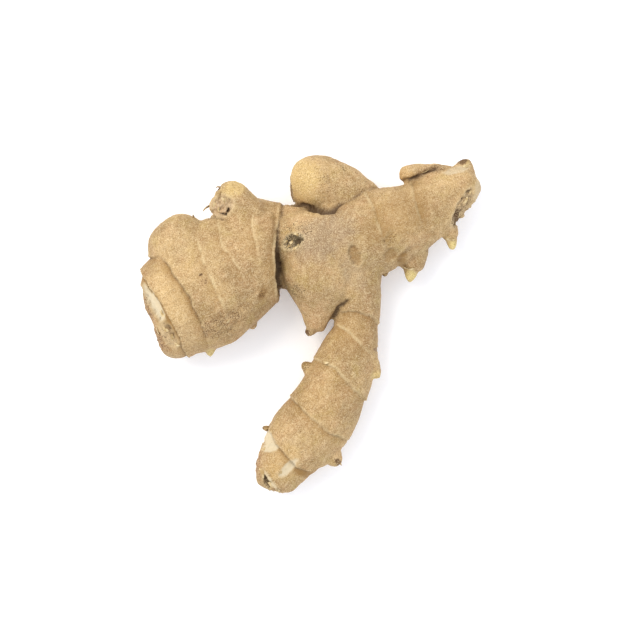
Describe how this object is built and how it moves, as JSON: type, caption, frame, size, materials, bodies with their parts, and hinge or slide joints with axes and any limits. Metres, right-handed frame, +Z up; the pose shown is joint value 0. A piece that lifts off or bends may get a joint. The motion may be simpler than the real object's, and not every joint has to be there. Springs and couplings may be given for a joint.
{
  "type": "ginger root",
  "caption": "Fresh ginger root: a flattened, knobbly rhizome with a broad lobe, a forked arm, a round side lobe and a long finger.",
  "frame": {"origin": "on the table, at the middle of the root's outline seen from above", "axes": "+Z up from the table the root lies on; +X towards the forked arm and -Y along the long finger"},
  "size_m": [0.1299, 0.1288, 0.0344],
  "materials": {
    "ginger_skin": "matte"
  },
  "bodies": {
    "root": {"ginger_root": "ginger_skin"}
  },
  "joints": []
}
